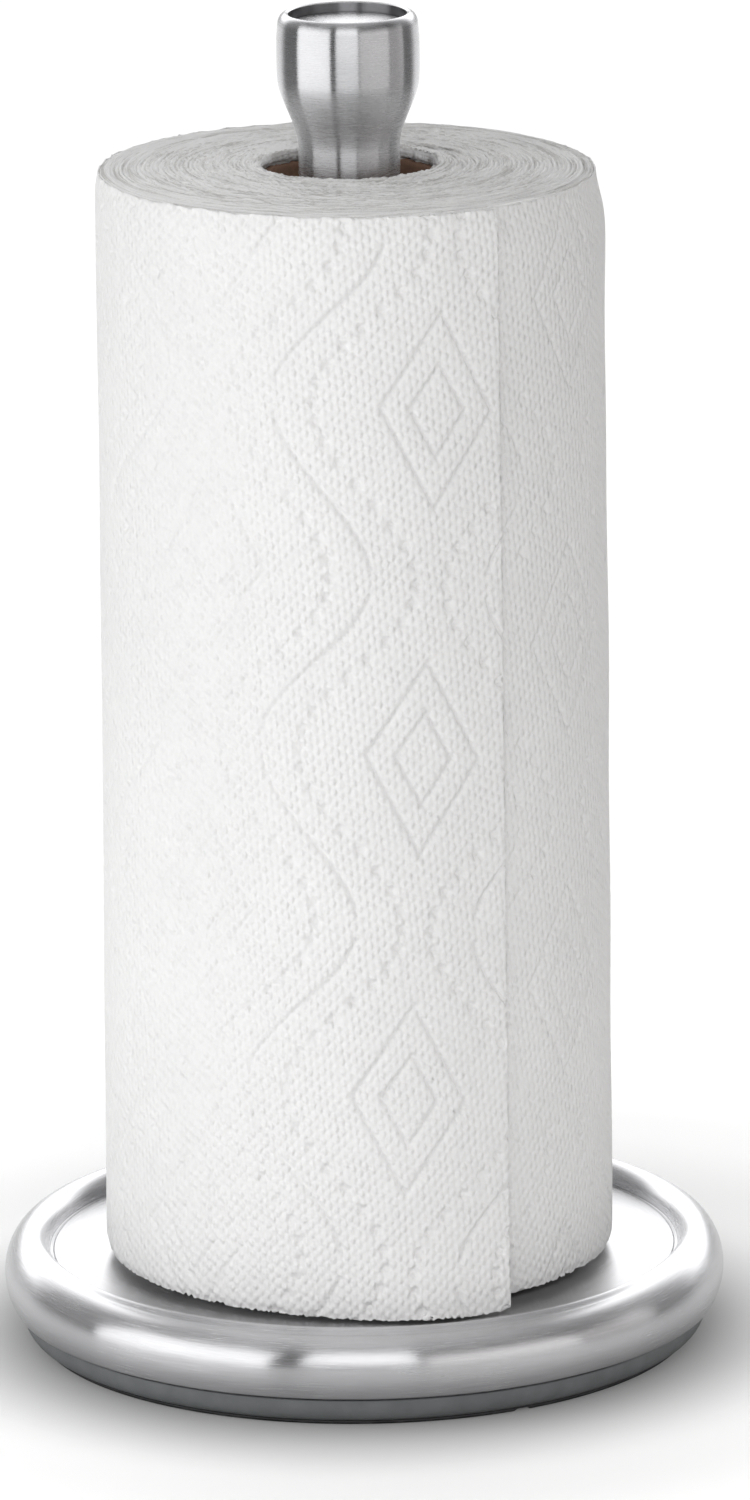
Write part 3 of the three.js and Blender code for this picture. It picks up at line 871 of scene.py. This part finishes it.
def add_grip():
    """The rubber sleeve whose ribs hold the core, each rib rounded and led in at the top."""
    rib_r, low, high = extent("core_grip_sleeve")
    inner_r = HUB_R + GAP
    levels = np.concatenate([np.linspace(low + 0.6, high - GRIP["lead_in"], 10),
                             np.linspace(high - GRIP["lead_in"], high - 0.6, 8)[1:]])
    corners = [(inner_r, low, 0.3), (GRIP["body_r"], low, 0.5)]
    corners += [(GRIP["body_r"], z) for z in levels]
    corners += [(GRIP["body_r"], high, 0.8), (inner_r, high, 0.4)]

    def shape(radius, angle, z):
        step = TURN / GRIP["ribs"]
        off = np.abs((angle + step / 2) % step - step / 2) * GRIP["body_r"]
        rib = 1 - ramp(GRIP["rib_width"] / 2 - 0.4, GRIP["rib_width"] / 2 + 0.7, off)
        lead = 1 - GRIP["lead"] * ramp(high - GRIP["lead_in"], high, z)
        outer = ramp(GRIP["body_r"] - 0.9, GRIP["body_r"] - 0.2, radius)
        ends = ramp(low, low + GRIP["end"], z) * (1 - ramp(high - GRIP["end"], high, z))
        return radius + (rib_r - GRIP["body_r"]) * rib * lead * outer * ends, z

    spin("grip_sleeve_ribbed", corners, GRIP["segments"], "spindle", "grip_rubber",
         ["core_grip_sleeve"], shape)


WASHER = {"waves": 3, "thickness": 0.6}
# opening in degrees; from an eye inwards the width falls by twice the share "eye", along half a
# wave of a cosine that takes the clip's angle "rate" times
CLIP = {"opening": 50, "eye": 0.2, "rate": 6, "steps": 96}


def add_washers():
    """The wave washer, and the clip above it with an eye at each end of its opening."""
    bore = extent("post_tube")[0] + GAP
    washer_r, low, high = extent("wave_washer")
    wave = (high - low - WASHER["thickness"]) / 2
    under, over = low + wave, high - wave
    corners = [(bore, under, 0.12), (washer_r, under, 0.2), (washer_r, over, 0.2), (bore, over, 0.12)]

    def shape(radius, angle, z):
        return radius, z + wave * np.cos(WASHER["waves"] * angle)

    spin("wave_washer_spring", corners, MEDIUM, "base", "plated_steel", ["wave_washer"], shape)
    _, low, high = extent("retaining_clip")
    clip_r = -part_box("retaining_clip")[0].x / MM
    half = math.radians(CLIP["opening"] / 2)
    angles = np.linspace(half, TURN - half, CLIP["steps"] + 1)
    from_end = np.minimum(angles - half, TURN - half - angles)
    profile = outline([(0, low, 0.15), (1, low, 0.25), (1, high, 0.25), (0, high, 0.15)])
    points = []
    for angle, near in zip(angles, from_end):
        eye = CLIP["eye"] * math.cos(min(near * CLIP["rate"], math.pi))
        width = (clip_r - bore) * (1 - CLIP["eye"] + eye)
        for share, z in profile:
            radius = bore + share * width
            points.append((radius * math.cos(angle), radius * math.sin(angle), z))
    count = len(profile)
    faces = [(i * count + j, i * count + (j + 1) % count, (i + 1) * count + (j + 1) % count,
              (i + 1) * count + j) for i in range(len(angles) - 1) for j in range(count)]
    faces.append(tuple(range(count)))
    faces.append(tuple(range((len(angles) - 1) * count, len(angles) * count)))
    piece("retaining_clip_spring", points, faces, "base", "plated_steel", ["retaining_clip"])


# --- Towel roll ---

# at the roll's bottom and top: its radius, and where its middle stands, a little to the front
ROLL_R = (65.4, 64.0)
ROLL_X = (-0.75, 0.05)
ROLL_Y = (-3.2, -1.0)
FREE_EDGE_AZIMUTH = (34.6, 34.2)
LAYER = 1.1  # visible spacing of the wraps on the roll's ends
DOME = 1.6  # the inner wraps stand this much prouder at the top than the outer ones
TIP = 0.008  # slope of the roll's top down to the right
DRAW_IN = {"depth": 0.7, "more_right": 1.2, "height": 6, "higher_right": 12}

SHEET_THICKNESS = 0.45
LAP_STEP = 0.95  # the free edge stands this much outside the wrap beneath it
OVERLAP = 30  # how far the outer sheet runs on beneath its own free edge


def along_roll(z, bottom, top):
    """A value that changes evenly from the roll's bottom to its top."""
    _, low, high = extent("wound_towel")
    t = np.clip((z - low) / (high - low), 0, 1)
    return bottom * (1 - t) + top * t


def roll_radius(z):
    return along_roll(z, *ROLL_R)


def right_share(azimuth, turn):
    """1 on the roll's right, where the outer wraps are drawn in more than elsewhere."""
    return ramp(0.2, 1.0, np.sin(azimuth)) * ramp(0.3, 0.9, turn)


def top_draw(azimuth, from_top, turn):
    """How far the wraps are drawn in towards the roll's top edge, most on the right."""
    right = right_share(azimuth, turn)
    depth = DRAW_IN["depth"] + DRAW_IN["more_right"] * right
    height = DRAW_IN["height"] + DRAW_IN["higher_right"] * right
    return depth * (1 - ramp(0, height, from_top)) ** 2


# Pressed pattern, in millimetres on the flat sheet: columns of double diamonds, with a broken
# solid wave midway between columns and a line of dots on each side of the wave.
ROW_PITCH = 87.3
FRONT_DIAMOND = {"s": 17.7, "z": 166.1, "lean": 0.055}
COLUMN_TURN = (0.017686, -2.5e-6)  # columns per millimetre to the left, and its change
COLUMN_RISE = (0.106, -0.000109)  # how far the rows rise to the left, and its change
DIAMOND_SIZES = ((14.6, 24.3), (7.2, 11.6))
WAVE_SWING = 13.3
WAVE_BREAK = 3.4
DOT_OFFSET = 10.8
DOT_SWING = 13.8
FAINT = 0.45  # the pattern is pressed this much less deep on the roll's left and right
DOTS_PER_ROW = 18
DOT_R = 1.7
LINE_HALF_WIDTH = 0.95
LINE_DEPTH = 0.85
DOT_DEPTH = 1.05
PADDING = 0.8  # the sheet's back lies this much deeper away from its edges, beneath the pattern


def pattern_place(s, z):
    """Column count to the left of the front diamonds, and height above their row."""
    left = FRONT_DIAMOND["s"] + FRONT_DIAMOND["lean"] * (z - FRONT_DIAMOND["z"]) - s
    column = COLUMN_TURN[0] * left + COLUMN_TURN[1] * left * left
    row = z - FRONT_DIAMOND["z"] - COLUMN_RISE[0] * left - COLUMN_RISE[1] * left * left
    pitch = 1 / (COLUMN_TURN[0] + 2 * COLUMN_TURN[1] * left)
    return column, row, pitch


def diamond_distance(column, row, pitch):
    """Distance to the nearest line of a diamond."""
    nearest = np.round(column)
    x = np.abs(column - nearest) * pitch
    y = row / ROW_PITCH - 0.5 * (nearest % 2)
    y = np.abs(y - np.round(y)) * ROW_PITCH
    best = np.full(x.shape, 99.0)
    for half_width, half_height in DIAMOND_SIZES:
        slope = math.hypot(1 / half_width, 1 / half_height)
        best = np.minimum(best, np.abs(x / half_width + y / half_height - 1) / slope)
    return best


def wave_distances(column, row, pitch):
    """Distance to the solid wave between columns, and to the nearest dot beside it."""
    gap = np.floor(column)
    x = (gap + 0.5 - column) * pitch
    side = np.where(gap % 2 == 0, -1.0, 1.0)
    phase = TURN * row / ROW_PITCH
    slope = WAVE_SWING * TURN / ROW_PITCH * np.sin(phase)
    wave = np.abs(x - side * WAVE_SWING * np.cos(phase)) / np.hypot(1, slope)
    half = ROW_PITCH / 2
    from_turn = np.abs(row - np.round(row / half) * half)
    wave = np.hypot(wave, np.maximum(0, WAVE_BREAK - from_turn))
    step = ROW_PITCH / DOTS_PER_ROW
    dot = np.full(x.shape, 99.0)
    for near in (-1, 0, 1):
        y = (np.round(row / step) + near) * step
        middle = side * DOT_SWING * np.cos(TURN * y / ROW_PITCH)
        for offset in (-DOT_OFFSET, DOT_OFFSET):
            dot = np.minimum(dot, np.hypot(x - middle - offset, row - y))
    return wave, dot


def emboss(s, z):
    """Depth of the pressed pattern, and the distance to its nearest feature."""
    place = pattern_place(s, z)
    diamond = diamond_distance(*place)
    wave, dot = wave_distances(*place)
    line = np.minimum(diamond, wave)
    groove = ramp(0, 1, 1 - line / LINE_HALF_WIDTH)
    pit = ramp(0, 1, 1 - (dot / DOT_R) ** 2)
    depth = np.maximum(LINE_DEPTH * groove, DOT_DEPTH * pit)
    return depth, np.minimum(line - LINE_HALF_WIDTH, dot - DOT_R)


def sheet_lap(z):
    """Length of one lap of the outer sheet."""
    return TURN * (roll_radius(z) - LAP_STEP / 2)


def free_edge(z):
    return np.radians(along_roll(z, *FREE_EDGE_AZIMUTH))


WOBBLE = Ripple(3, 9, 4, 260)
CREASE = Ripple(5, 14, 16, 60)
RAG = Ripple(8, 12, 60, 900)
RAG_FINE = Ripple(9, 16, 260, 900)

# shape of the outer sheet, in millimetres and degrees
RAGGED = {"coarse": 0.4, "fine": 0.35, "top_share": 0.35}
SHEET_FOOT = {"clear": 1.5, "dip": 1.5, "azimuth": 22, "climb": 2.2}
SHEET_TOP = 0.6  # how far the sheet stands above its CAD piece
BILLOW = {"out": 4.2, "azimuth": 24, "spread": 26, "height": 34, "turn": 0.0095}
BULGE = {"out": 0.5, "below_top": 18, "spread": 14}
TUCK = {"in": 0.6, "height": 3}
LIFT = {"out": 0.35, "width": 9}
# where on the flat sheet, to the left and to the right, the pattern grows faint
FAINT_LEFT, FAINT_RIGHT = (-34, 4), (40, 50)
EDGE_S = math.radians(FREE_EDGE_AZIMUTH[1]) * ROLL_R[1] + 1.2  # s at the free edge


def unevenness(azimuth, z):
    return 0.28 * WOBBLE(azimuth, z) + 0.10 * CREASE(azimuth, z)


def sheet_point(u, v, inside):
    """A point of the outer sheet: u millimetres from its free edge, v from 0 at its bottom edge
    to 1 at its top edge, and on its outer or inner face."""
    _, low, high = extent("last_wrap")
    turn = u / (TURN * ROLL_R[1])
    rough_azimuth = math.radians(FREE_EDGE_AZIMUTH[1]) - turn * TURN
    tipped = -TIP * ROLL_R[1] * np.sin(rough_azimuth)
    rag = RAGGED["coarse"] * RAG(rough_azimuth, 0) + RAGGED["fine"] * RAG_FINE(rough_azimuth, 0)
    dip = np.cos(rough_azimuth - math.radians(SHEET_FOOT["azimuth"]))
    bottom = low + SHEET_FOOT["clear"] - SHEET_FOOT["dip"] * dip
    bottom = bottom + SHEET_FOOT["climb"] * turn + abs(rag)
    top = high + SHEET_TOP + tipped + RAGGED["top_share"] * rag
    z = bottom + (top - bottom) * v
    radius = roll_radius(z)
    azimuth = free_edge(z) - u / (radius - LAP_STEP / 2 * turn)
    off = (azimuth - math.radians(BILLOW["azimuth"])) / math.radians(BILLOW["spread"])
    front = np.exp(-off ** 2) * (1 - turn)
    flare = BILLOW["out"] * front * (1 - ramp(0, BILLOW["height"], z - bottom)) ** 1.5
    azimuth = azimuth - BILLOW["turn"] * flare
    from_top, from_bottom = top - z, z - bottom
    level = (from_top - BULGE["below_top"]) / BULGE["spread"]
    bulge = BULGE["out"] * right_share(azimuth, turn) * np.exp(-level ** 2)
    tuck = TUCK["in"] * (1 - front) * (1 - ramp(0, TUCK["height"], from_bottom)) ** 2
    lift = LIFT["out"] * (1 - ramp(0, LIFT["width"], u))
    radius = radius - LAP_STEP * turn - top_draw(azimuth, from_top, turn)
    radius = radius + bulge + flare - tuck + lift
    radius = radius + unevenness(azimuth, z) * ramp(0, 0.1, turn + 0.05)
    s = EDGE_S - u
    depth, _ = emboss(s, z)
    depth = depth * (1 - FAINT * (1 - ramp(*FAINT_LEFT, s)))
    depth = depth * (1 - FAINT * ramp(*FAINT_RIGHT, s))
    from_side = np.minimum(u, sheet_lap(z) + OVERLAP - u)
    from_edge = np.minimum(from_side, np.minimum(from_top, from_bottom))
    back = SHEET_THICKNESS + PADDING * ramp(0.5, 5, from_edge)
    radius = radius - np.where(inside, back, depth)
    x = along_roll(z, *ROLL_X) + radius * np.sin(azimuth)
    y = along_roll(z, *ROLL_Y) - radius * np.cos(azimuth)
    return np.stack([x, y, z], -1), np.stack([s, z], -1)


# the sheet's grid: steps along it, up it, and within EDGE_BAND of its edges
COARSE_STEP, ROW_STEP, EDGE_STEP = 2.0, 1.6, 0.6
EDGE_BAND = 3
REFINE_REACH = (1.2, 0.5)  # each pass splits the quads this near to the pressed pattern
MID_Z = 160.0


def sheet_grid():
    """The flat sheet as a closed thin box of quads: x is u, y is v, and z is 0 or 1 for its two
    faces. It is finer towards its edges."""
    lap = sheet_lap(MID_Z) + OVERLAP
    _, low, high = extent("last_wrap")
    tall = high - low
    edge = np.arange(0, EDGE_BAND, EDGE_STEP)
    u = np.concatenate([edge, np.arange(EDGE_BAND, lap, COARSE_STEP)])
    rows_up = np.arange(EDGE_BAND, tall - EDGE_BAND, ROW_STEP)
    v = np.concatenate([edge, rows_up, tall - edge[::-1]]) / tall
    uu, vv = np.meshgrid(u, v, indexing="ij")
    points = [np.stack([uu.ravel(), vv.ravel(), np.full(uu.size, side)], -1) for side in (0.0, 1.0)]
    columns, rows = len(u), len(v)
    half = columns * rows
    i, j = np.meshgrid(np.arange(columns - 1), np.arange(rows - 1), indexing="ij")
    a = (i * rows + j).ravel()
    quads = np.stack([a, a + rows, a + rows + 1, a + 1], -1)
    faces = quads.tolist() + (quads[:, ::-1] + half).tolist()
    loop = [k * rows for k in range(columns)]
    loop += [(columns - 1) * rows + k for k in range(1, rows)]
    loop += [k * rows + rows - 1 for k in range(columns - 2, -1, -1)]
    loop += list(range(rows - 2, 0, -1))
    for a, b in zip(loop, loop[1:] + loop[:1]):
        faces.append((b, a, a + half, b + half))
    return np.concatenate(points), faces, tall


def refine_sheet(sheet, tall):
    """Splits the outer face's quads near the pressed pattern and at the bottom edge."""
    _, low, _ = extent("last_wrap")
    for reach in REFINE_REACH:
        edges = [e for e in sheet.edges
                 if e.verts[0].co.z < 0.5 and e.verts[1].co.z < 0.5 and not e.is_boundary]
        middle = np.array([(e.verts[0].co + e.verts[1].co) / 2 for e in edges])
        _, distance = emboss(EDGE_S - middle[:, 0], low + middle[:, 1] * tall)
        seen = middle[:, 0] < sheet_lap(MID_Z) - 1
        near = ((distance < reach) | (middle[:, 1] * tall < EDGE_STEP)) & seen
        chosen = [e for e, hit in zip(edges, near) if hit]
        bmesh.ops.subdivide_edges(sheet, edges=chosen, cuts=1, use_grid_fill=True)


def add_outer_sheet():
    """The last lap of towel, pressed with its pattern, with its free edge at the front right."""
    points, faces, tall = sheet_grid()
    mesh = bpy.data.meshes.new("towel_outer_sheet")
    mesh.from_pydata(points.tolist(), [], faces)
    sheet = bmesh.new()
    sheet.from_mesh(mesh)
    refine_sheet(sheet, tall)
    bmesh.ops.triangulate(sheet, faces=[f for f in sheet.faces if len(f.verts) > 4])
    flat = np.array([v.co for v in sheet.verts])
    shaped, pattern = sheet_point(flat[:, 0], flat[:, 1], flat[:, 2] > 0.5)
    for vertex, co in zip(sheet.verts, shaped * MM):
        vertex.co = co
    layer = sheet.loops.layers.uv.new("sheet")
    pattern = pattern / UV_UNIT
    for face in sheet.faces:
        for loop in face.loops:
            loop[layer].uv = pattern[loop.vert.index]
    sheet.to_mesh(mesh)
    sheet.free()
    finished("towel_outer_sheet", mesh, "towel", "towel_tissue", ["last_wrap"], "towel_face")


SPREAD = Ripple(11, 10, 5, 60)
FRAY = Ripple(12, 18, 90, 7)

# height of the wraps' crests on top, left and right, and on the underside, whose whole relief is
# lower by a share
CRESTS = {"top": (0.5, 1.2), "under": 0.42, "share": 0.4}
CALM_R = (46, 60)  # between these radii the wraps grow calmer outwards
RINGS = {"top_step": 0.3, "under_step": 0.55, "side": 32, "corner": 4, "segments": 420}
# a loose stretch of the inner wraps on the right: its radius, spread, depth and wrap spacing
LOOSE = {"r": 29, "spread": 3.2, "depth": 1.3, "pitch": 2.3}
LIP = 1.3  # how far the inner wraps hang over the core's top
SHIFT_SPAN = (24, 40)  # radii between which the wraps take up the roll's lean


def layered(radius, angle, sharp):
    """Height of a roll's end over its mean level: a spiral of rounded wraps."""
    wander = 0.5 * SPREAD(angle, radius) + 0.12 * FRAY(angle, radius)
    wrap = radius / LAYER - angle / TURN + 0.35 * wander
    crest = np.abs(np.sin(math.pi * wrap)) ** 0.6
    inner = 1 - 0.75 * ramp(*CALM_R, radius)
    height = sharp * (crest - 0.6) + 0.25 * wander * inner
    return height + 0.16 * inner * FRAY(angle, radius * 3)


def add_wound_towel():
    """The wound towel beneath its outer sheet, with its layered ends."""
    _, low, high = extent("wound_towel")
    inner_r = extent("core_tube")[0] + GAP
    outer_r = ROLL_R[1] - LAP_STEP - SHEET_THICKNESS
    core_top = extent("core_tube")[2] + CORE_STANDS
    lip_r = inner_r - LIP
    top_rings = np.arange(lip_r + 0.5, outer_r - 0.7, RINGS["top_step"])
    bottom_rings = np.arange(inner_r + 0.5, outer_r - 3.5, RINGS["under_step"])
    profile = [(r, high) for r in top_rings]
    profile += arc(outer_r - 0.3, high - 0.3, 0.3, 0.3, 90, 0, RINGS["corner"])
    top_count = len(profile)
    profile += [(outer_r, z) for z in np.linspace(high - 2, low + 7, RINGS["side"])]
    profile += [(outer_r, low + 4), (outer_r - 1.2, low + 2), (outer_r - 3.2, low + 0.8)]
    bottom_start = len(profile)
    profile += [(r, low + 0.5) for r in bottom_rings[::-1]]
    profile += [(inner_r, low + 1), (inner_r, low + 60), (inner_r, core_top - 4),
                (inner_r, core_top + 0.4), (lip_r, core_top + 0.8), (lip_r, high - 0.8)]

    def shape(radius, angle, z):
        index = np.broadcast_to(np.arange(radius.shape[1]), radius.shape)
        azimuth = angle + math.pi / 2
        upper = z > core_top + 0.5
        on_top = (index < top_count) | (index == radius.shape[1] - 1)
        under = (index >= bottom_start) & (index < bottom_start + len(bottom_rings))
        share = (radius - inner_r) / (outer_r - inner_r)
        rise = DOME * (1 - np.clip(share, 0, 1) ** 1.5) + 0.5
        rise = rise - TIP * radius * np.sin(azimuth)
        loose = np.exp(-((radius - LOOSE["r"]) / LOOSE["spread"]) ** 2)
        loose = loose * ramp(0.1, 0.8, np.sin(azimuth))
        waves = np.abs(np.sin(math.pi * (radius / LOOSE["pitch"] - angle / TURN)))
        least, most = CRESTS["top"]
        sharp = least + (most - least) * ramp(-0.1, 0.7, np.sin(azimuth))
        top = z + rise + layered(radius, angle, sharp) - LOOSE["depth"] * loose * waves
        bottom = z + CRESTS["share"] * layered(radius, angle, CRESTS["under"])
        z = np.where(on_top, top, np.where(under, bottom, z))
        ragged = 0.28 * FRAY(angle, z) + 0.3 * SPREAD(angle, 0)
        radius = radius + np.where(upper & (radius < inner_r), ragged, 0)
        outermost = ramp(outer_r - 4, outer_r - 1, radius)
        # the body's side follows the inner face of the sheet that is wound on it
        turn = (free_edge(z) - azimuth) / TURN % 1
        beneath = LAP_STEP * (turn + 1 - ramp(0.085, 0.115, turn))
        gap = SHEET_THICKNESS + 0.1 + PADDING * ramp(1, 6, high - z)
        follow = roll_radius(z) - beneath - gap - top_draw(azimuth, high - z, turn)
        follow = follow + unevenness(azimuth, z)
        return radius + outermost * (follow - outer_r), z

    points, faces = turned(profile, RINGS["segments"], shape)
    for axis, ends in enumerate((ROLL_X, ROLL_Y)):
        share = ramp(*SHIFT_SPAN, np.hypot(*points[:, :2].T))
        points[:, axis] += along_roll(points[:, 2], *ends) * share
    piece("towel_wound", points, faces, "towel", "towel_tissue", ["wound_towel"])


CORE = {"wall": 1.5, "rings": 40, "segments": 180, "cut": 1.2, "seam": 0.12, "seam_width": 1.2}


def add_core():
    """The cardboard core, with a slightly ragged cut at its top."""
    core_r, low, high = extent("core_tube")
    high += CORE_STANDS
    inner_r = core_r - CORE["wall"]
    levels = np.linspace(low + 3, high - 1.5, CORE["rings"])
    profile = [(inner_r, z) for z in levels[::-1]]
    profile += [(inner_r, low + 0.3), (inner_r + 0.3, low), (core_r - 0.3, low), (core_r, low + 0.3)]
    profile += [(core_r, z) for z in levels]
    profile += [(core_r, high - 0.3), (core_r - 0.3, high), (inner_r + 0.7, high),
                (inner_r + 0.3, high - 0.05), (inner_r, high - 0.35)]

    def shape(radius, angle, z):
        cut = ramp(high - CORE["cut"], high, z)
        seam = (z / CORE_STRIP + angle / TURN) % 1
        bump = CORE["seam"] * np.exp(-((seam - 0.5) * CORE_STRIP / CORE["seam_width"]) ** 2)
        inner = radius < inner_r + 0.1
        return radius + np.where(inner, bump, 0), z + 0.25 * cut * (FRAY(angle, 3) - 1)

    points, faces = turned(profile, CORE["segments"], shape)
    piece("core_cardboard_tube", points, faces, "towel", "core_cardboard", ["core_tube"])


# --- Build ---

add_camera()
make_materials()
dress_cad_nodes()
add_floor()
for box_name, values in SOFTBOXES.items():
    add_softbox(box_name, *values)
add_surroundings()
bpy.context.scene.view_settings.view_transform = "Standard"

add_cover()
add_pan()
add_foot()
add_post()
add_cap()
add_post_foot()
add_grip()
add_washers()
add_core()
add_wound_towel()
add_outer_sheet()
